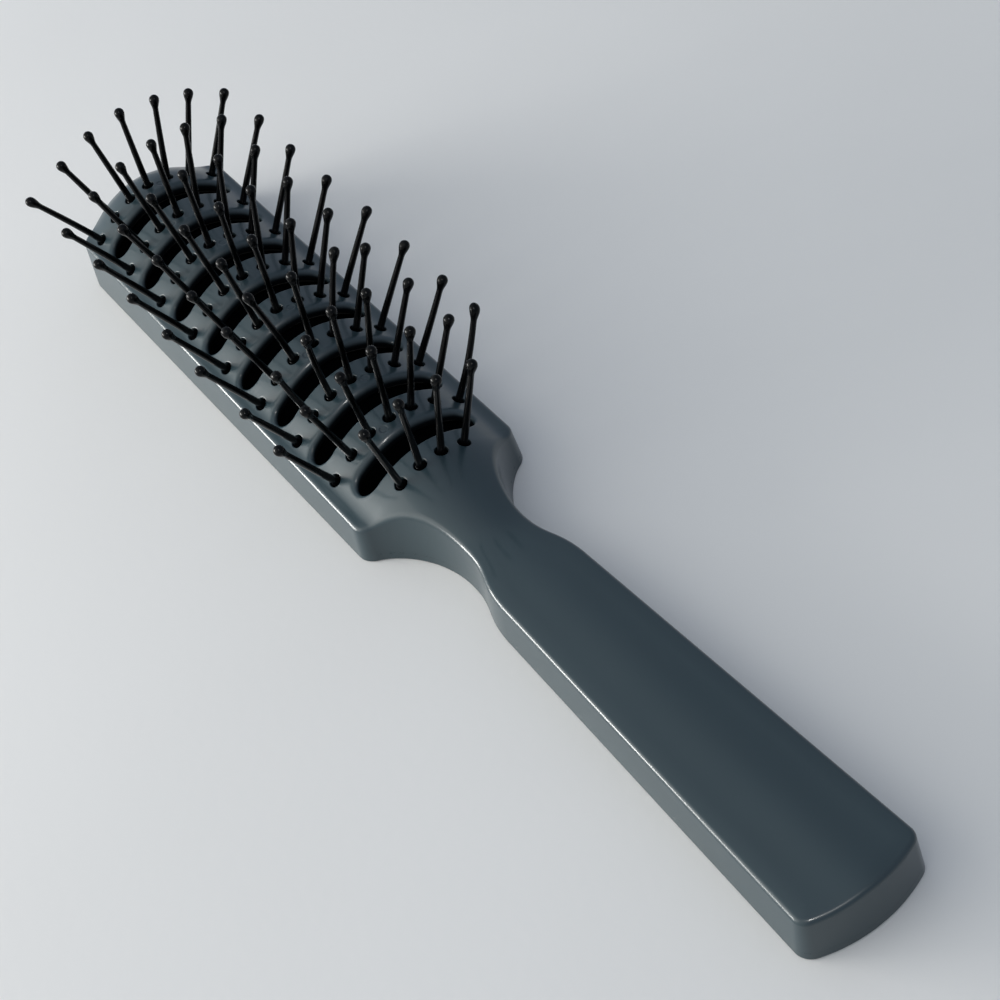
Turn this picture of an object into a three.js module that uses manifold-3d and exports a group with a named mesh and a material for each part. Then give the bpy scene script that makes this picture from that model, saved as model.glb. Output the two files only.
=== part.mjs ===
// Vent brush: a two-piece moulded body with nine strips of ball-tipped pins.
// Millimetres. The brush lies on its back: +X runs to the tip of the head, +Z is the pin side.
import * as THREE from 'three';
import { mergeVertices } from 'three/addons/utils/BufferGeometryUtils.js';
import loadManifold from 'manifold-3d';

// Body outline, seen from the pin side
const OVERALL_LENGTH = 220;
const HEAD_LENGTH = 111.5;
const HEAD_WIDTH = 33.9;
const TIP_ARC_RADIUS = 31;
const TIP_CORNER_RADIUS = 4.4;
const NECK_WIDTH = 13;
const NECK_SETBACK = 17.5;
const HANDLE_FRONT_SETBACK = 31;
const HANDLE_FRONT_WIDTH = 18;
const HANDLE_END_WIDTH = 22.8;
const END_ARC_RADIUS = 26;
const END_CORNER_RADIUS = 3;
const SHOULDER_ROUND = 2.2;
const SMALLEST_CORNER = 0.4;

// Pull of the curves that lead from the handle through the neck to the pointed shoulder,
// as shares of the neck's length and of its depth
const HANDLE_PULL = 0.4;
const HANDLE_SINK = 0.04;
const NECK_PULL_BACK = 0.36;
const NECK_PULL_FORWARD = 0.5;
const SHOULDER_PULL = 0.16;
const SHOULDER_SINK = 0.5;
const SHOULDER_INSET_SHARE = 0.55;
const SHOULDER_LEAN = 0.5;

// Body height and the crowned face that carries the pins
const HANDLE_HEIGHT = 8.5;
const SHOULDER_HEIGHT = 7.5;
const TIP_HEIGHT = 10.5;
const WALL_DRAFT = THREE.MathUtils.degToRad(5);
const CROWN_RISE = 6.6;
const CROWN_RADIUS = 14.5;
const CROWN_BLEND = 1.2;
const NOSE_LENGTH = 10.5;
const BRIDGE_LENGTH = 22;

// Shell, cover and the clearances between pieces
const SHELL_WALL = 1.6;
const SHELL_SKIN = 2;
const COVER_THICKNESS = 1.3;
const LIP_HEIGHT = 2.4;
const LIP_WALL = 1.2;
const FIT_GAP = 0.3;
const CUT_MARGIN = 3;

// Rows of pins and the vents between them
const FULL_ROWS = 8;
const FULL_ROW_PINS = 7;
const FRONT_ROW_PINS = 4;
const TIP_ROW_SETBACK = 9.5;
const FRONT_ROW_OVERHANG = 0.8;
const PIN_EDGE_MARGIN = 3.9;
const VENT_WIDTH = 4.9;
const VENT_EDGE_MARGIN = 3.8;
const FRONT_VENT_EDGE_MARGIN = 5.3;

// One pin and its strip
const PIN_LENGTH = 18.5;
const PIN_FOOT_DIAMETER = 1.35;
const PIN_TOP_DIAMETER = 1.1;
const BALL_DIAMETER = 1.95;
const BALL_NECK = 1.5;
const BALL_FLAT_BELOW = 0.5;
const BALL_FLAT_ABOVE = 0.4;
const BALL_FLAT_WIDTH = 0.92;
const BOSS_DIAMETER = 1.8;
const BOSS_SINK = 0.15;
const BOSS_ROOT_SHARE = 0.4;
const FAN_STEP = THREE.MathUtils.degToRad(9);
const FRONT_LEAN = THREE.MathUtils.degToRad(12);
const TIP_LEAN = THREE.MathUtils.degToRad(5.5);
const STRIP_WIDTH = 4.4;
const STRIP_THICKNESS = 1.6;
const STRIP_END_MARGIN = 0.5;

// Facet counts
const CURVE_STEPS = 6;
const VENT_END_STEPS = 4;
const CROWN_ROWS = 12;
const BRIDGE_STEPS = 6;
const NOSE_STEPS = 6;
const PIN_SIDES = 5;
const HOLE_SIDES = 7;
const WELD_DISTANCE = 1e-4;

// Places worked out from the driving dimensions
const TIP_X = OVERALL_LENGTH / 2;
const END_X = -OVERALL_LENGTH / 2;
const SHOULDER_X = TIP_X - HEAD_LENGTH;
const NECK_X = SHOULDER_X - NECK_SETBACK;
const HANDLE_FRONT_X = SHOULDER_X - HANDLE_FRONT_SETBACK;
const NOSE_X = TIP_X - NOSE_LENGTH;
const BRIDGE_X = SHOULDER_X - BRIDGE_LENGTH;
const ROW_PITCH = (HEAD_LENGTH - TIP_ROW_SETBACK + FRONT_ROW_OVERHANG) / FULL_ROWS;
const COLUMN_PITCH = (HEAD_WIDTH - 2 * PIN_EDGE_MARGIN) / (FULL_ROW_PINS - 1);
const PARTING_Z = COVER_THICKNESS + FIT_GAP;
const HOLE_DIAMETER = BOSS_DIAMETER + 2 * FIT_GAP;
const STRIP_TOP_DROP = SHELL_SKIN + FIT_GAP;
const STRIP_FOOT_DROP = STRIP_TOP_DROP + STRIP_THICKNESS;
const HOLE_DEPTH = 4 * SHELL_SKIN;
const FACE_REACH = TIP_HEIGHT + CROWN_RISE + CUT_MARGIN;

const manifold = await loadManifold();
manifold.setup();

// Solid modelling helpers

function toSolid(geometry) {
  const bare = new THREE.BufferGeometry();
  bare.setAttribute('position', geometry.getAttribute('position'));
  bare.setIndex(geometry.getIndex());
  const welded = mergeVertices(bare, WELD_DISTANCE);
  const vertProperties = new Float32Array(welded.getAttribute('position').array);
  const triVerts = new Uint32Array(welded.getIndex().array);
  return new manifold.Manifold(new manifold.Mesh({ numProp: 3, vertProperties, triVerts }));
}

function toMesh(name, solid, material) {
  const { vertProperties, triVerts } = solid.getMesh();
  const geometry = new THREE.BufferGeometry();
  geometry.setAttribute('position', new THREE.BufferAttribute(new Float32Array(vertProperties), 3));
  geometry.setIndex(new THREE.BufferAttribute(new Uint32Array(triVerts), 1));
  geometry.computeVertexNormals();
  const mesh = new THREE.Mesh(geometry, material);
  mesh.name = name;
  return mesh;
}

function prism(points, bottom, top) {
  const shape = new THREE.Shape(points);
  const geometry = new THREE.ExtrudeGeometry(shape, { depth: top - bottom, bevelEnabled: false });
  return toSolid(geometry.translate(0, 0, bottom));
}

// A solid between two outlines with the same number of points.
function loft(lower, bottom, upper, top) {
  const count = lower.length;
  const positions = [
    ...lower.flatMap((point) => [point.x, point.y, bottom]),
    ...upper.flatMap((point) => [point.x, point.y, top]),
  ];
  const indices = THREE.ShapeUtils.triangulateShape(lower, []).flatMap(([a, b, c]) => (
    [a, c, b, count + a, count + b, count + c]
  ));
  lower.forEach((_, index) => {
    const next = (index + 1) % count;
    indices.push(index, next, count + next, index, count + next, count + index);
  });
  const geometry = new THREE.BufferGeometry();
  geometry.setAttribute('position', new THREE.Float32BufferAttribute(positions, 3));
  geometry.setIndex(indices);
  return toSolid(geometry);
}

function block(centreX, width, length, bottom, top) {
  const geometry = new THREE.BoxGeometry(width, length, top - bottom);
  return toSolid(geometry.translate(centreX, 0, (bottom + top) / 2));
}

// Body outline

// A bowed end: a wide arc that meets each side in a smaller corner arc.
function bowedEnd(apexX, facing, arcRadius, cornerRadius, halfWidth) {
  const arcX = apexX - facing * arcRadius;
  const cornerY = halfWidth - cornerRadius;
  const reach = Math.sqrt((arcRadius - cornerRadius) ** 2 - cornerY ** 2);
  const cornerX = arcX + facing * reach;
  const joinAngle = Math.atan2(cornerY, facing * reach);
  return { arcX, cornerX, cornerY, joinAngle };
}

// The outline of the body at its back, drawn in by an inset for what sits inside or above it.
function bodyOutline(inset) {
  const halfHead = HEAD_WIDTH / 2 - inset;
  const halfNeck = NECK_WIDTH / 2 - inset;
  const halfFront = HANDLE_FRONT_WIDTH / 2 - inset;
  const halfEnd = HANDLE_END_WIDTH / 2 - inset;
  const tipArc = TIP_ARC_RADIUS - inset;
  const tipCorner = Math.max(TIP_CORNER_RADIUS - inset, SMALLEST_CORNER);
  const endArc = END_ARC_RADIUS - inset;
  const endCorner = Math.max(END_CORNER_RADIUS - inset, SMALLEST_CORNER);
  const tip = bowedEnd(TIP_X - inset, 1, tipArc, tipCorner, halfHead);
  const end = bowedEnd(END_X + inset, -1, endArc, endCorner, halfEnd);
  const shoulderX = SHOULDER_X + inset * SHOULDER_INSET_SHARE;
  const scoopDepth = halfHead - halfNeck;

  const half = new THREE.Path();
  half.moveTo(END_X + inset, 0);
  half.absarc(end.arcX, 0, endArc, Math.PI, end.joinAngle, true);
  half.absarc(end.cornerX, end.cornerY, endCorner, end.joinAngle, Math.PI / 2, true);
  half.lineTo(HANDLE_FRONT_X, halfFront);
  half.bezierCurveTo(
    HANDLE_FRONT_X + NECK_SETBACK * HANDLE_PULL, halfFront - scoopDepth * HANDLE_SINK,
    NECK_X - NECK_SETBACK * NECK_PULL_BACK, halfNeck,
    NECK_X, halfNeck,
  );
  half.bezierCurveTo(
    NECK_X + NECK_SETBACK * NECK_PULL_FORWARD, halfNeck,
    shoulderX - NECK_SETBACK * SHOULDER_PULL, halfNeck + scoopDepth * SHOULDER_SINK,
    shoulderX - SHOULDER_ROUND * SHOULDER_LEAN, halfHead - SHOULDER_ROUND,
  );
  half.quadraticCurveTo(shoulderX, halfHead, shoulderX + SHOULDER_ROUND, halfHead);
  half.lineTo(tip.cornerX, halfHead);
  half.absarc(tip.cornerX, tip.cornerY, tipCorner, Math.PI / 2, tip.joinAngle, true);
  half.absarc(tip.arcX, 0, tipArc, tip.joinAngle, 0, true);

  const side = half.getPoints(CURVE_STEPS).filter((point, index, points) => (
    index === 0 || point.distanceTo(points[index - 1]) > WELD_DISTANCE
  ));
  const mirrored = side.slice(1, -1).reverse().map((point) => new THREE.Vector2(point.x, -point.y));
  return [...side, ...mirrored].reverse();
}

// The body between two heights, drawn in by an inset and narrowed by the draft of its walls.
function bodySolid(inset, bottom, top) {
  const narrowing = Math.tan(WALL_DRAFT);
  const lower = bodyOutline(inset + Math.max(bottom, 0) * narrowing);
  const upper = bodyOutline(inset + top * narrowing);
  return loft(lower, bottom, upper, top);
}

// Crowned face

// How far the head has begun, from 0 on the handle to 1 at the shoulder.
function bridgeShare(x) {
  return THREE.MathUtils.smoothstep(x, BRIDGE_X, SHOULDER_X);
}

// Height of the body's edge: level along the handle, lower at the shoulder, rising to the tip.
function edgeHeight(x) {
  const along = THREE.MathUtils.clamp((x - SHOULDER_X) / HEAD_LENGTH, 0, 1);
  const handleEdge = THREE.MathUtils.lerp(HANDLE_HEIGHT, SHOULDER_HEIGHT, bridgeShare(x));
  return handleEdge + (TIP_HEIGHT - SHOULDER_HEIGHT) * along;
}

// Height of the crown over the edge: it grows out of the handle and ends in a rounded nose.
function crownRise(x) {
  const nose = THREE.MathUtils.clamp((x - NOSE_X) / NOSE_LENGTH, 0, 1);
  return CROWN_RISE * bridgeShare(x) * Math.sqrt(1 - nose * nose);
}

function faceHeight(x, y) {
  const arch = crownRise(x) - (y * y) / (2 * CROWN_RADIUS);
  return edgeHeight(x) + (arch + Math.hypot(arch, CROWN_BLEND)) / 2;
}

function steps(from, to, count) {
  return Array.from({ length: count }, (_, index) => from + ((to - from) * index) / count);
}

// Everything below the crowned face, lowered by a drop.
function underFace(drop) {
  const stations = [
    END_X - CUT_MARGIN,
    ...steps(BRIDGE_X, SHOULDER_X, BRIDGE_STEPS),
    SHOULDER_X,
    ...steps(0, Math.PI / 2, NOSE_STEPS).map((angle) => NOSE_X + NOSE_LENGTH * Math.sin(angle)),
    TIP_X,
    TIP_X + CUT_MARGIN,
  ];
  const halfWidth = HEAD_WIDTH / 2 + CUT_MARGIN;
  const floorZ = -FACE_REACH;
  const columns = CROWN_ROWS + 1;
  const layer = stations.length * columns;
  const positions = [];
  const indices = [];
  for (const level of ['face', 'floor']) {
    for (const x of stations) {
      for (let column = 0; column < columns; column += 1) {
        const y = -halfWidth + (2 * halfWidth * column) / CROWN_ROWS;
        positions.push(x, y, level === 'face' ? faceHeight(x, y) - drop : floorZ);
      }
    }
  }
  const quad = (a, b, c, d) => indices.push(a, b, c, a, c, d);
  for (let row = 0; row < stations.length - 1; row += 1) {
    for (let column = 0; column < CROWN_ROWS; column += 1) {
      const corner = row * columns + column;
      const next = corner + columns;
      quad(corner, next, next + 1, corner + 1);
      quad(layer + corner, layer + corner + 1, layer + next + 1, layer + next);
    }
    const left = row * columns;
    const right = left + CROWN_ROWS;
    quad(left, layer + left, layer + left + columns, left + columns);
    quad(right, right + columns, layer + right + columns, layer + right);
  }
  for (let column = 0; column < CROWN_ROWS; column += 1) {
    const back = column;
    const front = (stations.length - 1) * columns + column;
    quad(back, back + 1, layer + back + 1, layer + back);
    quad(front, layer + front, layer + front + 1, front + 1);
  }
  const geometry = new THREE.BufferGeometry();
  geometry.setAttribute('position', new THREE.Float32BufferAttribute(positions, 3));
  geometry.setIndex(indices);
  return toSolid(geometry);
}

// Rows of pins

function pinRow(index) {
  const count = index === 0 ? FRONT_ROW_PINS : FULL_ROW_PINS;
  const x = TIP_X - TIP_ROW_SETBACK - (FULL_ROWS - index) * ROW_PITCH;
  const columns = Array.from({ length: count }, (_, pin) => pin - (count - 1) / 2);
  const length = (count - 1) * COLUMN_PITCH + BOSS_DIAMETER + 2 * STRIP_END_MARGIN;
  const lean = THREE.MathUtils.lerp(FRONT_LEAN, TIP_LEAN, index / FULL_ROWS);
  return { x, columns, length, lean };
}

const rows = Array.from({ length: FULL_ROWS + 1 }, (_, index) => pinRow(index));

// Where a pin stands: its foot on the crowned face and its own direction.
function pinPlace(row, column) {
  const y = column * COLUMN_PITCH;
  const foot = new THREE.Vector3(row.x, y, faceHeight(row.x, y));
  const fan = column * FAN_STEP;
  const direction = new THREE.Vector3(
    -Math.sin(row.lean),
    Math.sin(fan) * Math.cos(row.lean),
    Math.cos(fan) * Math.cos(row.lean),
  );
  const turn = new THREE.Quaternion().setFromUnitVectors(new THREE.Vector3(0, 1, 0), direction);
  return new THREE.Matrix4().compose(foot, turn, new THREE.Vector3(1, 1, 1));
}

function pinGeometry() {
  const bossFoot = -(STRIP_TOP_DROP + STRIP_THICKNESS * BOSS_ROOT_SHARE);
  const ballRadius = BALL_DIAMETER / 2;
  const profile = [
    [0, bossFoot],
    [BOSS_DIAMETER / 2, bossFoot],
    [BOSS_DIAMETER / 2, -BOSS_SINK],
    [PIN_FOOT_DIAMETER / 2, -BOSS_SINK],
    [PIN_TOP_DIAMETER / 2, PIN_LENGTH - ballRadius * BALL_NECK],
    [ballRadius * BALL_FLAT_WIDTH, PIN_LENGTH - ballRadius * BALL_FLAT_BELOW],
    [ballRadius * BALL_FLAT_WIDTH, PIN_LENGTH + ballRadius * BALL_FLAT_ABOVE],
    [0, PIN_LENGTH + ballRadius],
  ];
  const points = profile.map(([radius, height]) => new THREE.Vector2(radius, height));
  return new THREE.LatheGeometry(points, PIN_SIDES);
}

// The space inside the shell that strips and bearers may fill.
const stripSpace = bodySolid(SHELL_WALL + FIT_GAP, 0, FACE_REACH);

function pinStrip(row) {
  const bar = block(row.x, STRIP_WIDTH, row.length, 0, FACE_REACH)
    .intersect(stripSpace)
    .intersect(underFace(STRIP_TOP_DROP))
    .subtract(underFace(STRIP_FOOT_DROP));
  return row.columns.reduce(
    (strip, column) => strip.add(toSolid(pinGeometry().applyMatrix4(pinPlace(row, column)))),
    bar,
  );
}

function pinHole(row, column) {
  const radius = HOLE_DIAMETER / 2;
  const drill = new THREE.CylinderGeometry(radius, radius, HOLE_DEPTH, HOLE_SIDES);
  return toSolid(drill.applyMatrix4(pinPlace(row, column)));
}

// Vents between the rows

function vent(index) {
  const x = (rows[index].x + rows[index + 1].x) / 2;
  const margin = index === 0 ? FRONT_VENT_EDGE_MARGIN : VENT_EDGE_MARGIN;
  const radius = VENT_WIDTH / 2;
  const straight = HEAD_WIDTH / 2 - margin - radius;
  const slot = new THREE.Shape();
  slot.absarc(x, straight, radius, 0, Math.PI, false);
  slot.absarc(x, -straight, radius, Math.PI, 2 * Math.PI, false);
  return prism(slot.getPoints(VENT_END_STEPS), -FACE_REACH, FACE_REACH);
}

const vents = rows.slice(1).map((_, index) => vent(index));

// Front shell: the hollow pin side of head and handle in one moulding.
function frontShell() {
  const outside = bodySolid(0, PARTING_Z, FACE_REACH).intersect(underFace(0));
  const cavity = bodySolid(SHELL_WALL, 0, FACE_REACH).intersect(underFace(SHELL_SKIN));
  const holes = rows.flatMap((row) => row.columns.map((column) => pinHole(row, column)));
  return [cavity, ...vents, ...holes].reduce((shell, cut) => shell.subtract(cut), outside);
}

// Back cover: the flat plate with a locating lip and a bearer under each strip.
function backCover() {
  const plate = bodySolid(0, 0, COVER_THICKNESS);
  const lipInset = SHELL_WALL + FIT_GAP;
  const lipTop = COVER_THICKNESS + LIP_HEIGHT;
  const lip = bodySolid(lipInset, 0, lipTop)
    .subtract(bodySolid(lipInset + LIP_WALL, COVER_THICKNESS, FACE_REACH));
  const bearerSpace = underFace(STRIP_FOOT_DROP + FIT_GAP).intersect(stripSpace);
  const bearers = rows.map((row) => (
    block(row.x, STRIP_WIDTH, row.length, COVER_THICKNESS / 2, FACE_REACH).intersect(bearerSpace)
  ));
  const whole = [lip, ...bearers].reduce((cover, piece) => cover.add(piece), plate);
  return vents.reduce((cover, cut) => cover.subtract(cut), whole);
}

// Materials
const bodyPlastic = new THREE.MeshStandardMaterial({ color: 0x3d474d, roughness: 0.22, metalness: 0 });
const pinNylon = new THREE.MeshStandardMaterial({ color: 0x0b0c0e, roughness: 0.3, metalness: 0 });

// Assembly
const ventBrush = new THREE.Group();
ventBrush.name = 'vent_brush';
ventBrush.add(toMesh('front_shell', frontShell(), bodyPlastic));
ventBrush.add(toMesh('back_cover', backCover(), bodyPlastic));
rows.forEach((row, index) => {
  ventBrush.add(toMesh(`pin_strip_${index + 1}`, pinStrip(row), pinNylon));
});

export default ventBrush;
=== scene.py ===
# Vent brush: fine moulded surfaces, materials, floor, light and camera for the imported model.
# Sizes are in millimetres, as in the solids, and turned into metres where a mesh is made.
# Floor, lights and bumps are in metres.
import math
import random

import bpy
import numpy as np
from mathutils import Matrix, Vector


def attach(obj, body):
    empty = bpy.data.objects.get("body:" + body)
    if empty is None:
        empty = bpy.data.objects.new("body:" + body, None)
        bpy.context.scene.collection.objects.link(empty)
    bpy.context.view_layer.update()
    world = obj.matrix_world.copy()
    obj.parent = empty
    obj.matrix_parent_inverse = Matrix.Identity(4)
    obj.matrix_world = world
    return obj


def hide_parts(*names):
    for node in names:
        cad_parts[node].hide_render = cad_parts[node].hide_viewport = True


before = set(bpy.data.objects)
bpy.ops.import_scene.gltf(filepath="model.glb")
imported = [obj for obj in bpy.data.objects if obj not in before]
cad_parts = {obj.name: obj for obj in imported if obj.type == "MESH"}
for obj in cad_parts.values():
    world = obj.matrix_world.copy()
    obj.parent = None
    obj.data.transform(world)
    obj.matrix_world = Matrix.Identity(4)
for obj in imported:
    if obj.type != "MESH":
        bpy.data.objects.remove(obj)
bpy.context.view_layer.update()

MM = 0.001

# Body outline, seen from the pin side
OVERALL_LENGTH = 220.0
HEAD_LENGTH = 111.5
HEAD_WIDTH = 33.9
TIP_ARC_RADIUS = 31.0
TIP_CORNER_RADIUS = 4.4
NECK_WIDTH = 13.0
NECK_SETBACK = 17.5
HANDLE_FRONT_SETBACK = 31.0
HANDLE_FRONT_WIDTH = 18.0
HANDLE_END_WIDTH = 22.8
END_ARC_RADIUS = 26.0
END_CORNER_RADIUS = 3.0
SHOULDER_ROUND = 2.2

# Pull of the curves that lead from the handle through the neck to the shoulder
HANDLE_PULL = 0.4
HANDLE_SINK = 0.04
NECK_PULL_BACK = 0.36
NECK_PULL_FORWARD = 0.5
SHOULDER_PULL = 0.16
SHOULDER_SINK = 0.5
SHOULDER_LEAN = 0.5

# Body height and the crowned face
HANDLE_HEIGHT = 8.5
SHOULDER_HEIGHT = 7.5
TIP_HEIGHT = 10.5
WALL_DRAFT = math.radians(5)
CROWN_RISE = 6.6
CROWN_RADIUS = 14.5
CROWN_BLEND = 1.2
NOSE_LENGTH = 10.5
BRIDGE_LENGTH = 22.0

# Shell and cover
SHELL_WALL = 1.6
SHELL_SKIN = 2.0
COVER_THICKNESS = 1.3
LIP_HEIGHT = 2.4
LIP_WALL = 1.2
FIT_GAP = 0.3
SEAM_GAP = 0.02

# Rounded edges of the mouldings, and the face easing down towards its edge
EDGE_ROUND = 0.7
EASE_WIDTH = 3.2
EASE_DROP = 0.22
BACK_ROUND = 0.25
VENT_CRISP_RIM = 0.4
VENT_SOFT_RIM = 1.6
HOLE_RIM = 0.12

# Shallow round mark that the mould left on each rib, by turns on either side of the middle
MARK_DIAMETER = 1.5
MARK_EDGE = 0.14
MARK_DEPTH = 0.1
MARK_SETBACK = 1.4

# Depth under the face at which painted shade inside the vents starts, and at which it is darkest
SHADE_START = 0.15
SHADE_END = 1.3

# Rows of pins and the vents between them
FULL_ROWS = 8
FULL_ROW_PINS = 7
FRONT_ROW_PINS = 4
TIP_ROW_SETBACK = 9.5
FRONT_ROW_OVERHANG = 0.8
PIN_EDGE_MARGIN = 3.9
VENT_WIDTH = 4.9
VENT_EDGE_MARGIN = 3.8
FRONT_VENT_EDGE_MARGIN = 5.3

# One pin and its strip
PIN_LENGTH = 18.5
PIN_FOOT_DIAMETER = 1.35
PIN_TOP_DIAMETER = 1.1
BALL_DIAMETER = 1.95
BOSS_DIAMETER = 1.8
BOSS_SINK = 0.15
FAN_STEP = math.radians(9)
FRONT_LEAN = math.radians(12)
TIP_LEAN = math.radians(5.5)
STRIP_WIDTH = 4.4
STRIP_THICKNESS = 1.6
STRIP_END_MARGIN = 0.5
STRIP_CORNER = 0.3

# Fine form of a pin: an eased boss, a small fillet at the foot and a swell that makes the tip a teardrop
BOSS_EASE = 0.2
BOSS_EASE_MIDDLE = 0.06
FOOT_FILLET_HEIGHT = 0.25
FOOT_FILLET_MIDDLE = (0.08, 0.05)
SHAFT_START = 1.0
SWELL_BALL_RADII = 2.4
SWELL_FIRST_SHARE = 0.15
SWELL_LAST_SHARE = 0.9
PIN_BEND_POWER = 1.7
PIN_WAVER = 0.35

# Pins that the photo shows bent: row, column and how far the tip stands off, in X and Y
BENT_PINS = {
    (1, -3): (3.4, 0.4),
    (2, 3): (-1.4, -0.5),
    (2, 2): (-2.3, -0.7),
    (2, 1): (-1.6, -0.8),
    (3, 1): (1.9, 0.9),
    (3, -1): (0.2, -1.5),
    (8, 3): (0.9, 1.1),
}

# Fineness of the meshes
CELL = 0.36
FIELD_STEP = 0.25
BEND_LIMIT = math.cos(math.radians(14))
SPLIT_ROUNDS = 2
RIM_REACH = 0.03
PIN_SIDES = 16
SHAFT_RINGS = 8
SWELL_RINGS = 7
BALL_RINGS = 7
STRIP_STATIONS = 28
LEAST_STEEPNESS = 0.25

# Places worked out from the sizes
TIP_X = OVERALL_LENGTH / 2
END_X = -OVERALL_LENGTH / 2
SHOULDER_X = TIP_X - HEAD_LENGTH
NECK_X = SHOULDER_X - NECK_SETBACK
HANDLE_FRONT_X = SHOULDER_X - HANDLE_FRONT_SETBACK
NOSE_X = TIP_X - NOSE_LENGTH
BRIDGE_X = SHOULDER_X - BRIDGE_LENGTH
ROW_PITCH = (HEAD_LENGTH - TIP_ROW_SETBACK + FRONT_ROW_OVERHANG) / FULL_ROWS
FRONT_ROW_X = TIP_X - TIP_ROW_SETBACK - FULL_ROWS * ROW_PITCH
COLUMN_PITCH = (HEAD_WIDTH - 2 * PIN_EDGE_MARGIN) / (FULL_ROW_PINS - 1)
LAST_COLUMN = (FULL_ROW_PINS - 1) / 2
FRONT_LAST_COLUMN = (FRONT_ROW_PINS - 1) / 2
HOLE_DIAMETER = BOSS_DIAMETER + 2 * FIT_GAP
SEAM_Z = COVER_THICKNESS + FIT_GAP / 2
SHELL_SEAM_Z = SEAM_Z + SEAM_GAP / 2
COVER_SEAM_Z = SEAM_Z - SEAM_GAP / 2
STRIP_TOP_DROP = SHELL_SKIN + FIT_GAP
STRIP_FOOT_DROP = STRIP_TOP_DROP + STRIP_THICKNESS
TOP_Z = TIP_HEIGHT + CROWN_RISE


# Outline of the body

def arc(centre, radius, start, end, count=24):
    angles = np.linspace(start, end, count + 1)
    return np.column_stack([centre[0] + radius * np.cos(angles), centre[1] + radius * np.sin(angles)])


def bezier(points, count=40):
    start, pull_a, pull_b, end = (np.array(point) for point in points)
    t = np.linspace(0, 1, count + 1)[:, None]
    near, far = 1 - t, t
    return near**3 * start + 3 * near**2 * far * pull_a + 3 * near * far**2 * pull_b + far**3 * end


def rounded(start, corner, end, count=12):
    t = np.linspace(0, 1, count + 1)[:, None]
    return (1 - t) ** 2 * start + 2 * (1 - t) * t * corner + t**2 * end


def bowed_end(apex_x, facing, arc_radius, corner_radius, half_width):
    """The wide arc of a bowed end and the corner arc that leads it into the side."""
    corner_y = half_width - corner_radius
    reach = math.sqrt((arc_radius - corner_radius) ** 2 - corner_y**2)
    arc_x = apex_x - facing * arc_radius
    join = math.atan2(corner_y, facing * reach)
    apex_angle = 0 if facing > 0 else math.pi
    wide = arc((arc_x, 0), arc_radius, apex_angle, join)
    corner = arc((arc_x + facing * reach, corner_y), corner_radius, join, math.pi / 2)
    return np.vstack([wide, corner[1:]])


def half_outline():
    """The +Y side of the body at its back, from the end of the handle to the tip."""
    half_head, half_neck, half_front = HEAD_WIDTH / 2, NECK_WIDTH / 2, HANDLE_FRONT_WIDTH / 2
    depth = half_head - half_neck
    handle_curve = bezier([
        (HANDLE_FRONT_X, half_front),
        (HANDLE_FRONT_X + NECK_SETBACK * HANDLE_PULL, half_front - depth * HANDLE_SINK),
        (NECK_X - NECK_SETBACK * NECK_PULL_BACK, half_neck),
        (NECK_X, half_neck),
    ])
    corner = np.array((SHOULDER_X, half_head))
    scoop = bezier([
        (NECK_X, half_neck),
        (NECK_X + NECK_SETBACK * NECK_PULL_FORWARD, half_neck),
        (SHOULDER_X - NECK_SETBACK * SHOULDER_PULL, half_neck + depth * SHOULDER_SINK),
        corner - (SHOULDER_ROUND * SHOULDER_LEAN, SHOULDER_ROUND),
    ])
    rounded_corner = rounded(scoop[-1], corner, corner + (SHOULDER_ROUND, 0))
    butt = bowed_end(END_X, -1, END_ARC_RADIUS, END_CORNER_RADIUS, HANDLE_END_WIDTH / 2)
    tip = bowed_end(TIP_X, 1, TIP_ARC_RADIUS, TIP_CORNER_RADIUS, half_head)[::-1]
    return np.vstack([butt, handle_curve, scoop[1:], rounded_corner[1:], tip])


class OutlineField:
    """Signed distance to the body's outline, negative inside, kept in a fine table."""

    def __init__(self, outline, margin=3.0):
        self.low = np.array((END_X - margin, -margin))
        across = np.arange(self.low[0], TIP_X + margin, FIELD_STEP)
        along = np.abs(np.arange(self.low[1], HEAD_WIDTH / 2 + margin, FIELD_STEP))
        x, y = np.meshgrid(across, along, indexing="ij")
        nearest = np.full(x.shape, np.inf)
        for (ax, ay), (bx, by) in zip(outline[:-1], outline[1:]):
            ux, uy = bx - ax, by - ay
            length = ux * ux + uy * uy
            if length == 0:
                continue
            share = np.clip(((x - ax) * ux + (y - ay) * uy) / length, 0, 1)
            nearest = np.minimum(nearest, np.hypot(x - ax - share * ux, y - ay - share * uy))
        edge = np.interp(x, outline[:, 0], outline[:, 1], left=-1, right=-1)
        self.table = np.where(y < edge, -nearest, nearest)

    def at(self, x, y):
        """Cubic reading of the table, smooth enough for clean normals."""
        u = (x - self.low[0]) / FIELD_STEP
        v = (np.abs(y) - self.low[1]) / FIELD_STEP
        rows, columns = self.table.shape
        i = np.clip(np.floor(u).astype(int), 1, rows - 3)
        j = np.clip(np.floor(v).astype(int), 1, columns - 3)
        u_weights = self.weights(u - i)
        v_weights = self.weights(v - j)
        total = 0
        for a in range(4):
            for b in range(4):
                total = total + u_weights[a] * v_weights[b] * self.table[i + a - 1, j + b - 1]
        return total

    @staticmethod
    def weights(f):
        return (
            ((-0.5 * f + 1) * f - 0.5) * f,
            (1.5 * f - 2.5) * f * f + 1,
            ((-1.5 * f + 2) * f + 0.5) * f,
            (0.5 * f - 0.5) * f * f,
        )


# Crowned face

def smoothstep(x, low, high):
    t = np.clip((x - low) / (high - low), 0, 1)
    return t * t * (3 - 2 * t)


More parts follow.
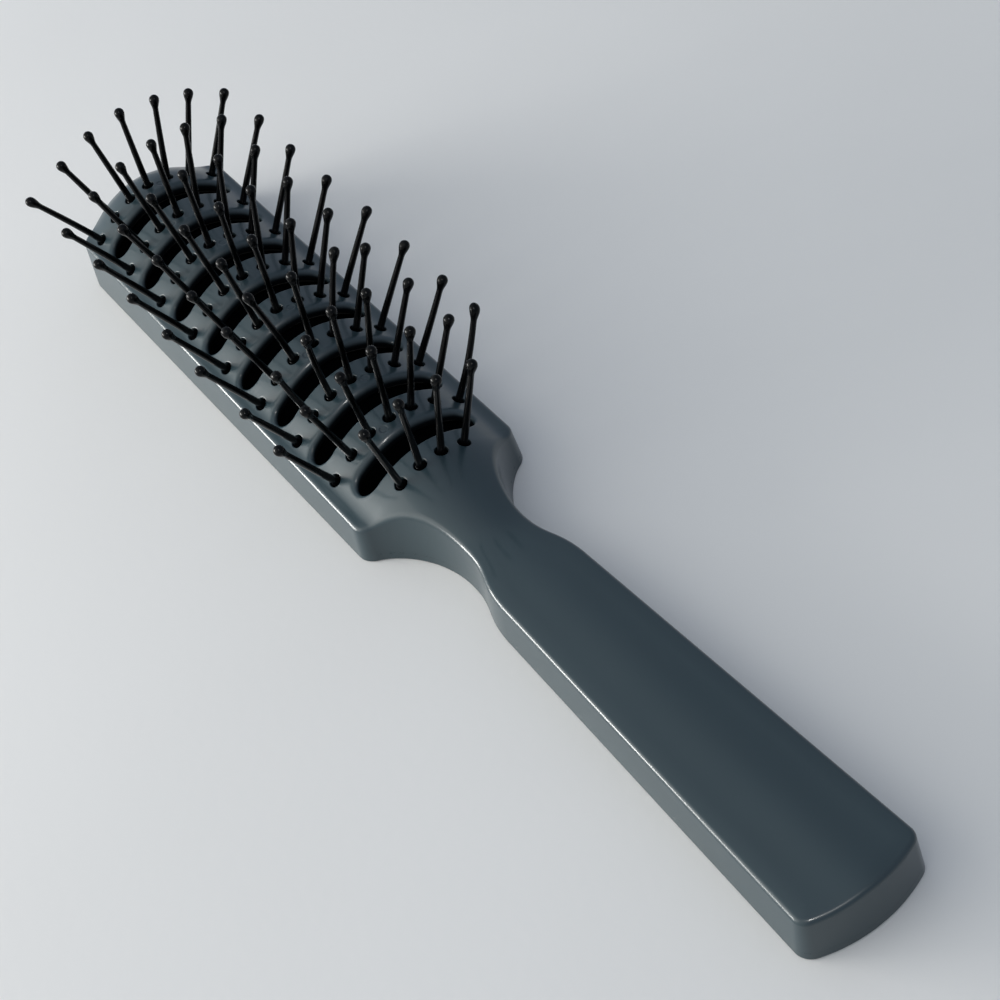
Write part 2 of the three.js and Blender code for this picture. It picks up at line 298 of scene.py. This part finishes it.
def edge_height(x):
    """Height of the body's edge: level along the handle, lower at the shoulder, rising to the tip."""
    along = np.clip((x - SHOULDER_X) / HEAD_LENGTH, 0, 1)
    handle_edge = HANDLE_HEIGHT + (SHOULDER_HEIGHT - HANDLE_HEIGHT) * smoothstep(x, BRIDGE_X, SHOULDER_X)
    return handle_edge + (TIP_HEIGHT - SHOULDER_HEIGHT) * along


def crown_rise(x):
    """Height of the crown over the edge: it grows out of the handle and ends in a rounded nose."""
    nose = np.clip((x - NOSE_X) / NOSE_LENGTH, 0, 1)
    return CROWN_RISE * smoothstep(x, BRIDGE_X, SHOULDER_X) * np.sqrt(1 - nose * nose)


def face_height(x, y):
    arch = crown_rise(x) - y * y / (2 * CROWN_RADIUS)
    return edge_height(x) + (arch + np.hypot(arch, CROWN_BLEND)) / 2


# Distances to the pieces, negative inside

def round_both(a, b, radius):
    """What lies in both shapes, with the edge between them rounded."""
    corner = np.hypot(np.maximum(a + radius, 0), np.maximum(b + radius, 0))
    return np.minimum(np.maximum(a, b), -radius) + corner


def vent_distance(x, y):
    """Distance to the nearest vent, and the place across it from -1 at the handle to 1 at the tip."""
    index = np.clip(np.round((x - FRONT_ROW_X) / ROW_PITCH - 0.5), 0, FULL_ROWS - 1)
    across = x - (FRONT_ROW_X + (index + 0.5) * ROW_PITCH)
    margin = np.where(index == 0, FRONT_VENT_EDGE_MARGIN, VENT_EDGE_MARGIN)
    straight = HEAD_WIDTH / 2 - margin - VENT_WIDTH / 2
    along = np.maximum(np.abs(y) - straight, 0)
    return np.hypot(across, along) - VENT_WIDTH / 2, np.clip(2 * across / VENT_WIDTH, -1, 1)


def pin_direction(row, column):
    lean = FRONT_LEAN + (TIP_LEAN - FRONT_LEAN) * row / FULL_ROWS
    fan = column * FAN_STEP
    return -np.sin(lean), np.sin(fan) * np.cos(lean), np.cos(fan) * np.cos(lean)


def hole_distance(x, y, z):
    """Distance to the nearest pin hole, which follows the direction of its pin."""
    row = np.clip(np.round((x - FRONT_ROW_X) / ROW_PITCH), 0, FULL_ROWS)
    full = np.clip(np.round(y / COLUMN_PITCH), -LAST_COLUMN, LAST_COLUMN)
    front = np.clip(np.floor(y / COLUMN_PITCH) + 0.5, -FRONT_LAST_COLUMN, FRONT_LAST_COLUMN)
    column = np.where(row == 0, front, full)
    foot_x = FRONT_ROW_X + row * ROW_PITCH
    foot_y = column * COLUMN_PITCH
    right, left, up = pin_direction(row, column)
    dx, dy, dz = x - foot_x, y - foot_y, z - face_height(foot_x, foot_y)
    along = dx * right + dy * left + dz * up
    return np.sqrt(np.maximum(dx * dx + dy * dy + dz * dz - along * along, 0)) - HOLE_DIAMETER / 2


def mark_depth(x, y):
    row = np.clip(np.round((x + MARK_SETBACK - FRONT_ROW_X) / ROW_PITCH), 1, FULL_ROWS)
    mark_x = FRONT_ROW_X + row * ROW_PITCH - MARK_SETBACK
    mark_y = np.where(row % 2 == 1, COLUMN_PITCH / 2, -COLUMN_PITCH / 2)
    away = np.hypot(x - mark_x, y - mark_y) - MARK_DIAMETER / 2
    return MARK_DEPTH * (1 - smoothstep(away, -MARK_EDGE, MARK_EDGE))


def side_distance(x, y, z):
    return (outline_field.at(x, y) + z * math.tan(WALL_DRAFT)) * math.cos(WALL_DRAFT)


def shell_distance(x, y, z):
    side = side_distance(x, y, z)
    top = z - face_height(x, y)
    ease = np.clip(1 + side / EASE_WIDTH, 0, 1)
    vent, across = vent_distance(x, y)
    rim = VENT_CRISP_RIM + (VENT_SOFT_RIM - VENT_CRISP_RIM) * (across + 1) / 2
    body = round_both(side, top + EASE_DROP * ease * ease + mark_depth(x, y), EDGE_ROUND)
    body = round_both(body, -vent, rim)
    body = round_both(body, -hole_distance(x, y, z), HOLE_RIM)
    cavity = np.maximum(side + SHELL_WALL, top + SHELL_SKIN)
    return np.maximum(np.maximum(body, SHELL_SEAM_Z - z), -cavity)


def cover_distance(x, y, z):
    side = side_distance(x, y, z)
    plate = np.maximum(round_both(side, -z, BACK_ROUND), z - COVER_SEAM_Z)
    lip_outside = side + SHELL_WALL + FIT_GAP
    lip_height = np.maximum(z - COVER_THICKNESS - LIP_HEIGHT, COVER_THICKNESS / 2 - z)
    lip = np.maximum(np.maximum(lip_outside, -lip_outside - LIP_WALL), lip_height)
    row = np.clip(np.round((x - FRONT_ROW_X) / ROW_PITCH), 0, FULL_ROWS)
    last = np.where(row == 0, FRONT_LAST_COLUMN, LAST_COLUMN)
    half_length = last * COLUMN_PITCH + BOSS_DIAMETER / 2 + STRIP_END_MARGIN
    bearer = np.maximum(
        np.abs(x - FRONT_ROW_X - row * ROW_PITCH) - STRIP_WIDTH / 2, np.abs(y) - half_length)
    bearer_top = z - face_height(x, y) + STRIP_FOOT_DROP + FIT_GAP
    bearer = np.maximum(np.maximum(bearer, lip_outside), np.maximum(bearer_top, COVER_THICKNESS / 2 - z))
    whole = np.minimum(plate, np.minimum(lip, bearer))
    return round_both(whole, -vent_distance(x, y)[0], VENT_CRISP_RIM)


# How deep a place lies inside the brush, 0 on the outside and 1 far in; the plastic turns near black with
# it as painted shade

def behind_wall(x, y, z):
    return smoothstep(-side_distance(x, y, z), SHELL_WALL / 2, SHELL_WALL)


def shell_depth(x, y, z):
    return behind_wall(x, y, z) * smoothstep(face_height(x, y) - z, SHADE_START, SHADE_END)


def cover_depth(x, y, z):
    return behind_wall(x, y, z) * smoothstep(z, COVER_THICKNESS / 2, 2 * COVER_THICKNESS)


# Surfaces from distances

def surface_net(values, low):
    """Quads round the zero surface of a sampled distance, one vertex in each cell that it passes."""
    inside = values < 0
    cells = tuple(size - 1 for size in values.shape)
    total = np.zeros(cells + (3,), np.float32)
    count = np.zeros(cells, np.float32)
    crossings = []
    for axis in range(3):
        before = tuple(slice(0, -1) if a == axis else slice(None) for a in range(3))
        after = tuple(slice(1, None) if a == axis else slice(None) for a in range(3))
        crossing = inside[before] != inside[after]
        gap = np.where(crossing, values[before] - values[after], 1)
        share = np.where(crossing, values[before] / gap, 0)
        others = [a for a in range(3) if a != axis]
        for first in (0, 1):
            for second in (0, 1):
                part = [slice(None)] * 3
                part[others[0]] = slice(first, first + cells[others[0]])
                part[others[1]] = slice(second, second + cells[others[1]])
                hit = crossing[tuple(part)]
                count += hit
                total[..., axis] += share[tuple(part)]
                total[..., others[0]] += first * hit
                total[..., others[1]] += second * hit
        crossings.append((crossing, inside[before]))
    active = count > 0
    number = np.full(cells, -1)
    number[active] = np.arange(active.sum())
    places = np.argwhere(active) + total[active] / count[active][:, None]
    quads = []
    for axis, (crossing, leaving) in enumerate(crossings):
        edges = np.argwhere(crossing)
        first, second = (axis + 1) % 3, (axis + 2) % 3
        around = []
        for step_first, step_second in ((1, 1), (0, 1), (0, 0), (1, 0)):
            cell = edges.copy()
            cell[:, first] -= step_first
            cell[:, second] -= step_second
            around.append(number[tuple(cell.T)])
        quad = np.column_stack(around)
        out = leaving[tuple(edges.T)]
        quads.append(np.where(out[:, None], quad, quad[:, ::-1]))
    return places * CELL + low, np.vstack(quads)


def slope(distance, points, reach=0.04):
    steps = []
    for axis in range(3):
        shift = np.zeros(3)
        shift[axis] = reach
        ahead = distance(*(points + shift).T)
        behind = distance(*(points - shift).T)
        steps.append((ahead - behind) / (2 * reach))
    return np.column_stack(steps)


def settle(distance, points, rounds=3):
    """Moves points onto the surface and returns them with the surface's own normals."""
    for _ in range(rounds):
        lean = slope(distance, points)
        steepness = np.maximum((lean**2).sum(axis=1), LEAST_STEEPNESS)
        move = np.clip(distance(*points.T) / steepness, -CELL / 2, CELL / 2)
        points = points - lean * move[:, None]
    lean = slope(distance, points)
    return points, lean / np.maximum(np.linalg.norm(lean, axis=1), 1e-6)[:, None]


def square_rim(points, normals, seam_z, reach):
    """Brings the points round the seam onto its sharp rim, with the normals of the wall beside it."""
    side = side_distance(*points.T)
    rim = (np.abs(side) < reach) & (np.abs(points[:, 2] - seam_z) < reach)
    points[rim, 2] = seam_z
    points[rim], normals[rim] = settle(side_distance, points[rim])
    points[rim, 2] = seam_z


def split_where_bent(points, faces, normals):
    """Splits each quad over which the surface turns into four, and keeps its neighbours joined to it."""
    quads = np.array([face for face in faces if len(face) == 4])
    others = [face for face in faces if len(face) != 4]
    corners = normals[quads]
    pairs = ((0, 1), (1, 2), (2, 3), (3, 0), (0, 2), (1, 3))
    turn = np.min([(corners[:, a] * corners[:, b]).sum(axis=1) for a, b in pairs], axis=0)
    bent = quads[turn < BEND_LIMIT]
    ends = np.sort(np.stack([bent, np.roll(bent, -1, axis=1)], axis=2), axis=2)
    edges, places = np.unique(ends.reshape(-1, 2), axis=0, return_inverse=True)
    middles = len(points) + places.reshape(-1, 4)
    centres = len(points) + len(edges) + np.arange(len(bent))
    result = []
    for corner in range(4):
        parts = (bent[:, corner], middles[:, corner], centres, middles[:, corner - 1])
        result += np.column_stack(parts).tolist()
    middle_of = {tuple(edge): len(points) + place for place, edge in enumerate(edges.tolist())}
    for ring in quads[turn >= BEND_LIMIT].tolist() + others:
        joined = []
        for start, end in zip(ring, ring[1:] + ring[:1]):
            joined.append(start)
            middle = middle_of.get((min(start, end), max(start, end)))
            if middle is not None:
                joined.append(middle)
        result.append(joined)
    return np.vstack([points, points[edges].mean(axis=1), points[bent].mean(axis=1)]), result


def moulding(name, distance, depth, low_z, high_z, seam_z):
    """A fine mesh of one moulded piece, in place of its solid, that knows how deep each place lies."""
    margin = 2 * CELL
    # The seam lies half way up a cell, and a spare cell lies below the piece
    cells_below_seam = math.ceil((SEAM_Z - low_z) / CELL) + 1.5
    low = np.array((END_X - margin, -HEAD_WIDTH / 2 - margin, SEAM_Z - cells_below_seam * CELL))
    high = np.array((TIP_X + margin, HEAD_WIDTH / 2 + margin, high_z + margin))
    x, y, z = (np.arange(a, b + CELL, CELL) for a, b in zip(low, high))
    values = distance(x[:, None, None], y[None, :, None], z[None, None, :])
    points, quads = surface_net(values, low)
    points, normals = settle(distance, points)
    square_rim(points, normals, seam_z, CELL / 2)
    faces = quads.tolist()
    for _ in range(SPLIT_ROUNDS):
        points, faces = split_where_bent(points, faces, normals)
        points, normals = settle(distance, points)
        square_rim(points, normals, seam_z, RIM_REACH)
    piece = new_piece(name, points, faces)
    piece.data.normals_split_custom_set_from_vertices(normals)
    # How deep each place lies, which darkens the plastic as painted shade
    piece.data.attributes.new("depth", "FLOAT", "POINT").data.foreach_set("value", depth(*points.T))
    return piece


def new_piece(name, points, faces):
    mesh = bpy.data.meshes.new(name)
    mesh.from_pydata(np.asarray(points) * MM, [], faces)
    mesh.validate()
    mesh.shade_smooth()
    piece = bpy.data.objects.new(name, mesh)
    bpy.context.scene.collection.objects.link(piece)
    return piece


# Pins and strips

def pin_profile():
    """Radius and height of a pin from its boss to the top of its teardrop tip."""
    ball = BALL_DIAMETER / 2
    root = -(STRIP_TOP_DROP + STRIP_THICKNESS / 2)
    profile = [
        (BOSS_DIAMETER / 2, root),
        (BOSS_DIAMETER / 2, -BOSS_SINK - BOSS_EASE),
        (BOSS_DIAMETER / 2 - BOSS_EASE_MIDDLE, -BOSS_SINK - BOSS_EASE_MIDDLE),
        (BOSS_DIAMETER / 2 - BOSS_EASE, -BOSS_SINK),
        (PIN_FOOT_DIAMETER / 2 + FOOT_FILLET_MIDDLE[0], -BOSS_SINK + FOOT_FILLET_MIDDLE[1]),
        (PIN_FOOT_DIAMETER / 2, -BOSS_SINK + FOOT_FILLET_HEIGHT),
    ]
    neck = PIN_LENGTH - SWELL_BALL_RADII * ball
    for height in np.linspace(SHAFT_START, neck, SHAFT_RINGS):
        share = height / neck
        profile.append((PIN_FOOT_DIAMETER / 2 * (1 - share) + PIN_TOP_DIAMETER / 2 * share, height))
    for share in np.linspace(SWELL_FIRST_SHARE, SWELL_LAST_SHARE, SWELL_RINGS):
        swell = smoothstep(share, 0, 1)
        radius = PIN_TOP_DIAMETER / 2 * (1 - swell) + ball * swell
        profile.append((radius, neck + share * (PIN_LENGTH - neck)))
    for angle in np.linspace(0, math.pi / 2, BALL_RINGS, endpoint=False):
        profile.append((ball * math.cos(angle), PIN_LENGTH + ball * math.sin(angle)))
    return profile


def add_lathe(points, faces, profile, foot, direction, shift):
    """A turned pin that stands on its foot and bends sideways by shift at its tip."""
    side = direction.orthogonal().normalized()
    other = direction.cross(side)
    first = len(points)
    for radius, height in profile:
        bend = max(height, 0) / PIN_LENGTH
        centre = foot + direction * height + shift * bend**PIN_BEND_POWER
        for turn in range(PIN_SIDES):
            angle = 2 * math.pi * turn / PIN_SIDES
            points.append(centre + side * (radius * math.cos(angle)) + other * (radius * math.sin(angle)))
    for ring in range(len(profile) - 1):
        for turn in range(PIN_SIDES):
            a = first + ring * PIN_SIDES + turn
            b = first + ring * PIN_SIDES + (turn + 1) % PIN_SIDES
            faces.append((a, b, b + PIN_SIDES, a + PIN_SIDES))
    top = len(points)
    points.append(foot + direction * (PIN_LENGTH + BALL_DIAMETER / 2) + shift)
    last = first + (len(profile) - 1) * PIN_SIDES
    for turn in range(PIN_SIDES):
        faces.append((last + turn, last + (turn + 1) % PIN_SIDES, top))
    faces.append(tuple(first + turn for turn in reversed(range(PIN_SIDES))))


def add_bar(points, faces, row_x, half_length):
    """The strip under the skin: a bar with eased corners that follows the crown."""
    half, flat = STRIP_WIDTH / 2, STRIP_WIDTH / 2 - STRIP_CORNER
    foot = -STRIP_THICKNESS
    section = [
        (-flat, 0), (flat, 0), (half, -STRIP_CORNER), (half, foot + STRIP_CORNER),
        (flat, foot), (-flat, foot), (-half, foot + STRIP_CORNER), (-half, -STRIP_CORNER),
    ]
    first, sides = len(points), len(section)
    for y in np.linspace(-half_length, half_length, STRIP_STATIONS):
        for across, up in section:
            x = row_x + across
            points.append(Vector((x, y, face_height(x, y) - STRIP_TOP_DROP + up)))
    for station in range(STRIP_STATIONS - 1):
        for corner in range(sides):
            a = first + station * sides + corner
            b = first + station * sides + (corner + 1) % sides
            faces.append((a, b, b + sides, a + sides))
    faces.append(tuple(first + corner for corner in reversed(range(sides))))
    faces.append(tuple(first + (STRIP_STATIONS - 1) * sides + corner for corner in range(sides)))


def pin_strip(row):
    chance = random.Random(row)
    last = FRONT_LAST_COLUMN if row == 0 else LAST_COLUMN
    row_x = FRONT_ROW_X + row * ROW_PITCH
    points, faces = [], []
    add_bar(points, faces, row_x, last * COLUMN_PITCH + BOSS_DIAMETER / 2 + FIT_GAP / 2)
    profile = pin_profile()
    for column in np.arange(-last, last + 1):
        y = column * COLUMN_PITCH
        foot = Vector((row_x, y, face_height(row_x, y)))
        waver = (chance.uniform(-PIN_WAVER, PIN_WAVER), chance.uniform(-PIN_WAVER, PIN_WAVER))
        bent = BENT_PINS.get((row, column), waver)
        direction = Vector(pin_direction(row, column)).normalized()
        add_lathe(points, faces, profile, foot, direction, Vector((bent[0], bent[1], 0)))
    return new_piece(f"pin_strip_{row + 1}_fine", points, faces)


# Most of a noise lies between these two values
NOISE_LOW = 0.35
NOISE_HIGH = 0.65

# Plastic of the body: flow marks, patches of gloss, soft ripples, a fine grain and painted shade inside the
# vents
PLASTIC_DARK = (0.020, 0.038, 0.046)
PLASTIC_LIGHT = (0.024, 0.044, 0.053)
# Near-black colour of the painted shade inside the vents and the brush
PLASTIC_PAINTED_SHADE = (0.003, 0.004, 0.005)
PLASTIC_SMOOTHEST = 0.29
PLASTIC_ROUGHEST = 0.35
PLASTIC_INSIDE_ROUGHNESS = 0.9
PLASTIC_SPECULAR = 0.5
PLASTIC_IOR = 1.5
PLASTIC_COAT = 0.3
PLASTIC_COAT_ROUGHNESS = 0.08
FLOW_SCALE = 60
FLOW_DETAIL = 4
FLOW_STRETCH = (0.25, 1, 1)
GLOSS_SCALE = 25
RIPPLE_SCALE = 140
RIPPLE_HEIGHT = 0.0002
GRAIN_SCALE = 2600
GRAIN_HEIGHT = 0.00002
PLASTIC_BUMP = 0.1

# Nylon of the pins
NYLON_DARK = (0.0010, 0.0011, 0.0012)
NYLON_LIGHT = (0.0020, 0.0021, 0.0024)
NYLON_SMOOTHEST = 0.1
NYLON_ROUGHEST = 0.16
NYLON_SPECULAR = 0.14
NYLON_CLOUD_SCALE = 300
NYLON_RIPPLE_SCALE = 900
NYLON_RIPPLE_HEIGHT = 0.00006
NYLON_BUMP = 0.2

# Paint of the table
TABLE_DARK = (0.77, 0.755, 0.735)
TABLE_LIGHT = (0.80, 0.785, 0.765)
TABLE_ROUGHNESS = 0.6
TABLE_SPECULAR = 0.2
TABLE_CLOUD_SCALE = 6
TABLE_CLOUD_DETAIL = 3
TABLE_GRAIN_SCALE = 500
TABLE_GRAIN_HEIGHT = 0.0002
TABLE_BUMP = 0.1
TABLE_LIFT = 0.02
TABLE_LIFT_COLOUR = (0.98, 1, 1)


# Materials

def new_material(name):
    material = bpy.data.materials.new(name)
    material.use_nodes = True
    return material, material.node_tree.nodes, material.node_tree.links


def noise(nodes, links, scale, detail=2, stretch=(1, 1, 1)):
    """A noise that keeps its size in metres, stretched along an axis if asked."""
    place = nodes.new("ShaderNodeTexCoord")
    mapping = nodes.new("ShaderNodeMapping")
    mapping.inputs["Scale"].default_value = stretch
    texture = nodes.new("ShaderNodeTexNoise")
    texture.inputs["Scale"].default_value = scale
    texture.inputs["Detail"].default_value = detail
    links.new(place.outputs["Object"], mapping.inputs["Vector"])
    links.new(mapping.outputs["Vector"], texture.inputs["Vector"])
    return texture.outputs["Fac"]


def spread(nodes, links, value, low, high, start=NOISE_LOW, end=NOISE_HIGH):
    """A value that goes from low to high while another, such as a noise, goes from start to end."""
    reach = nodes.new("ShaderNodeMapRange")
    reach.inputs["From Min"].default_value = start
    reach.inputs["From Max"].default_value = end
    reach.inputs["To Min"].default_value = low
    reach.inputs["To Max"].default_value = high
    links.new(value, reach.inputs["Value"])
    return reach.outputs["Result"]


def blend(nodes, links, share, first, second):
    """A colour between two, the first of which may come from another node."""
    mix = nodes.new("ShaderNodeMix")
    mix.data_type = "RGBA"
    if isinstance(first, tuple):
        mix.inputs["A"].default_value = (*first, 1)
    else:
        links.new(first, mix.inputs["A"])
    mix.inputs["B"].default_value = (*second, 1)
    links.new(share, mix.inputs["Factor"])
    return mix.outputs["Result"]


def fade(nodes, links, share, outside, inside):
    """A value that goes from the outside's own to the inside's."""
    mix = nodes.new("ShaderNodeMix")
    links.new(outside, mix.inputs["A"])
    mix.inputs["B"].default_value = inside
    links.new(share, mix.inputs["Factor"])
    return mix.outputs["Result"]


def raise_bumps(nodes, links, height, distance, strength, under=None):
    bump = nodes.new("ShaderNodeBump")
    bump.inputs["Distance"].default_value = distance
    bump.inputs["Strength"].default_value = strength
    links.new(height, bump.inputs["Height"])
    if under is not None:
        links.new(under, bump.inputs["Normal"])
    return bump.outputs["Normal"]


def moulded_plastic():
    """Glossy slate-grey plastic with faint flow marks and soft ripples; painted shade makes it dark inside
    the vents, where it is also dull.
    """
    material, nodes, links = new_material("moulded_plastic")
    shader = nodes["Principled BSDF"]
    flow = noise(nodes, links, FLOW_SCALE, FLOW_DETAIL, FLOW_STRETCH)
    patches = noise(nodes, links, GLOSS_SCALE)
    ripple = noise(nodes, links, RIPPLE_SCALE)
    grain = noise(nodes, links, GRAIN_SCALE)
    inside = nodes.new("ShaderNodeAttribute")
    inside.attribute_name = "depth"
    depth = inside.outputs["Fac"]
    streak = spread(nodes, links, flow, 0, 1)
    outside = blend(nodes, links, streak, PLASTIC_DARK, PLASTIC_LIGHT)
    # Painted shade: the colour turns near black where a place lies deep inside the vents and the brush
    links.new(blend(nodes, links, depth, outside, PLASTIC_PAINTED_SHADE), shader.inputs["Base Color"])
    gloss = spread(nodes, links, patches, PLASTIC_SMOOTHEST, PLASTIC_ROUGHEST)
    links.new(fade(nodes, links, depth, gloss, PLASTIC_INSIDE_ROUGHNESS), shader.inputs["Roughness"])
    specular = spread(nodes, links, depth, PLASTIC_SPECULAR, 0, 0, 1)
    links.new(specular, shader.inputs["Specular IOR Level"])
    coat = spread(nodes, links, depth, PLASTIC_COAT, 0, 0, 1)
    links.new(coat, shader.inputs["Coat Weight"])
    soft = raise_bumps(nodes, links, ripple, RIPPLE_HEIGHT, PLASTIC_BUMP)
    fine = raise_bumps(nodes, links, grain, GRAIN_HEIGHT, PLASTIC_BUMP, soft)
    links.new(fine, shader.inputs["Normal"])
    shader.inputs["IOR"].default_value = PLASTIC_IOR
    shader.inputs["Coat Roughness"].default_value = PLASTIC_COAT_ROUGHNESS
    return material


def pin_nylon():
    """Black nylon with a wet gloss and a little unevenness from moulding."""
    material, nodes, links = new_material("pin_nylon")
    shader = nodes["Principled BSDF"]
    cloud = noise(nodes, links, NYLON_CLOUD_SCALE)
    ripple = noise(nodes, links, NYLON_RIPPLE_SCALE)
    share = spread(nodes, links, cloud, 0, 1)
    links.new(blend(nodes, links, share, NYLON_DARK, NYLON_LIGHT), shader.inputs["Base Color"])
    gloss = spread(nodes, links, cloud, NYLON_SMOOTHEST, NYLON_ROUGHEST)
    links.new(gloss, shader.inputs["Roughness"])
    uneven = raise_bumps(nodes, links, ripple, NYLON_RIPPLE_HEIGHT, NYLON_BUMP)
    links.new(uneven, shader.inputs["Normal"])
    shader.inputs["Specular IOR Level"].default_value = NYLON_SPECULAR
    return material


def table_paint():
    """Pale satin table top, a little lifted where the camera, a reflection or glass shows it."""
    material, nodes, links = new_material("table_paint")
    shader = nodes["Principled BSDF"]
    cloud = noise(nodes, links, TABLE_CLOUD_SCALE, TABLE_CLOUD_DETAIL)
    grain = noise(nodes, links, TABLE_GRAIN_SCALE)
    share = spread(nodes, links, cloud, 0, 1)
    links.new(blend(nodes, links, share, TABLE_DARK, TABLE_LIGHT), shader.inputs["Base Color"])
    satin = raise_bumps(nodes, links, grain, TABLE_GRAIN_HEIGHT, TABLE_BUMP)
    links.new(satin, shader.inputs["Normal"])
    shader.inputs["Roughness"].default_value = TABLE_ROUGHNESS
    shader.inputs["Specular IOR Level"].default_value = TABLE_SPECULAR
    path = nodes.new("ShaderNodeLightPath")
    shown = path.outputs["Is Camera Ray"]
    for ray in ("Is Glossy Ray", "Is Transmission Ray"):
        either = nodes.new("ShaderNodeMath")
        either.operation = "MAXIMUM"
        links.new(shown, either.inputs[0])
        links.new(path.outputs[ray], either.inputs[1])
        shown = either.outputs["Value"]
    lift = nodes.new("ShaderNodeMath")
    lift.operation = "MULTIPLY"
    lift.inputs[1].default_value = TABLE_LIFT
    links.new(shown, lift.inputs[0])
    links.new(lift.outputs["Value"], shader.inputs["Emission Strength"])
    shader.inputs["Emission Color"].default_value = (*TABLE_LIFT_COLOUR, 1)
    return material


# Assembly

outline_field = OutlineField(half_outline())
plastic = moulded_plastic()
nylon = pin_nylon()


def dress(piece, material, node):
    piece.data.materials.append(material)
    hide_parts(node)
    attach(piece, "root")


shell = moulding("front_shell_fine", shell_distance, shell_depth, SEAM_Z, TOP_Z, SHELL_SEAM_Z)
cover = moulding("back_cover_fine", cover_distance, cover_depth, 0, TOP_Z - STRIP_FOOT_DROP, COVER_SEAM_Z)
dress(shell, plastic, "front_shell")
dress(cover, plastic, "back_cover")
for row_number in range(FULL_ROWS + 1):
    dress(pin_strip(row_number), nylon, f"pin_strip_{row_number + 1}")

# Floor
FLOOR_SIZE = 6.0
FLOOR_DROP = 0.0001
floor_mesh = bpy.data.meshes.new("floor")
floor_half = FLOOR_SIZE / 2
floor_mesh.from_pydata(
    [(-floor_half, -floor_half, -FLOOR_DROP), (floor_half, -floor_half, -FLOOR_DROP),
     (floor_half, floor_half, -FLOOR_DROP), (-floor_half, floor_half, -FLOOR_DROP)],
    [], [(0, 1, 2, 3)])
floor = bpy.data.objects.new("floor", floor_mesh)
floor_mesh.materials.append(table_paint())
bpy.context.scene.collection.objects.link(floor)

# Light: a low window with a paler pane beside it, a wide curtain over both and a lamp that only glints
LIGHT_COLOUR = (1, 0.99, 0.96)


def area_light(name, direction, distance, width, height, power):
    """A soft light that faces the middle of the brush, with level upper and lower edges."""
    data = bpy.data.lights.new(name, "AREA")
    data.shape = "RECTANGLE"
    data.size = width
    data.size_y = height
    data.energy = power
    data.color = LIGHT_COLOUR
    light = bpy.data.objects.new(name, data)
    light.location = Vector(direction) * distance
    light.rotation_euler = (-light.location).to_track_quat("-Z", "Y").to_euler()
    bpy.context.scene.collection.objects.link(light)
    return light


area_light("window", (0.635, 0.757, 0.156), distance=0.6, width=0.26, height=0.12, power=2.6)
area_light("pane", (0.36, 0.92, 0.16), distance=0.62, width=0.24, height=0.1, power=1.2)
area_light("curtain", (0.32, 0.84, 0.44), distance=0.45, width=0.5, height=0.4, power=0.6)
lamp = area_light("lamp", (-0.5, 0.12, 0.86), distance=0.6, width=0.05, height=0.14, power=0.8)
lamp.visible_diffuse = False

# Room: brighter and warmer on the window's side
ROOM_BRIGHT_SIDE = (0.3, 0.85, 0.43)
ROOM_DIM = 0.38
ROOM_BRIGHT = 1.0
ROOM_DIM_UP_TO = 0.1
ROOM_DIM_COLOUR = (0.75, 0.87, 1.07)
ROOM_BRIGHT_COLOUR = (0.97, 1.0, 0.97)

world = bpy.data.worlds.new("room")
world.use_nodes = True
room_nodes, room_links = world.node_tree.nodes, world.node_tree.links
room = room_nodes["Background"]
way = room_nodes.new("ShaderNodeTexCoord")
facing = room_nodes.new("ShaderNodeVectorMath")
facing.operation = "DOT_PRODUCT"
facing.inputs[1].default_value = ROOM_BRIGHT_SIDE
room_links.new(way.outputs["Generated"], facing.inputs[0])
side = spread(room_nodes, room_links, facing.outputs["Value"], 0, 1, ROOM_DIM_UP_TO, 1)
tint = blend(room_nodes, room_links, side, ROOM_DIM_COLOUR, ROOM_BRIGHT_COLOUR)
glow = spread(room_nodes, room_links, side, ROOM_DIM, ROOM_BRIGHT, 0, 1)
room_links.new(tint, room.inputs["Color"])
room_links.new(glow, room.inputs["Strength"])
bpy.context.scene.world = world

# Camera, fitted to the photo: place, the way it looks and the way its right side points
CAMERA_PLACE = Vector((-226.54, 81.07, 245.65)) * MM
CAMERA_FORWARD = Vector((0.64451, -0.26023, -0.71895))
CAMERA_RIGHT = Vector((-0.56108, -0.79975, -0.21351))
CAMERA_FOCAL_PIXELS = 2000.4
PHOTO_PIXELS = 1000.0
SENSOR_WIDTH = 36.0
NEAREST_SHOWN = 0.01

camera_data = bpy.data.cameras.new("camera")
camera_data.sensor_width = SENSOR_WIDTH
camera_data.lens = SENSOR_WIDTH * CAMERA_FOCAL_PIXELS / PHOTO_PIXELS
camera_data.clip_start = NEAREST_SHOWN
camera = bpy.data.objects.new("camera", camera_data)
forward = CAMERA_FORWARD.normalized()
up = CAMERA_RIGHT.cross(forward).normalized()
right = forward.cross(up)
camera.matrix_world = Matrix.Translation(CAMERA_PLACE) @ Matrix((right, up, -forward)).transposed().to_4x4()
bpy.context.scene.collection.objects.link(camera)
bpy.context.scene.camera = camera
bpy.context.scene.view_settings.view_transform = "Standard"
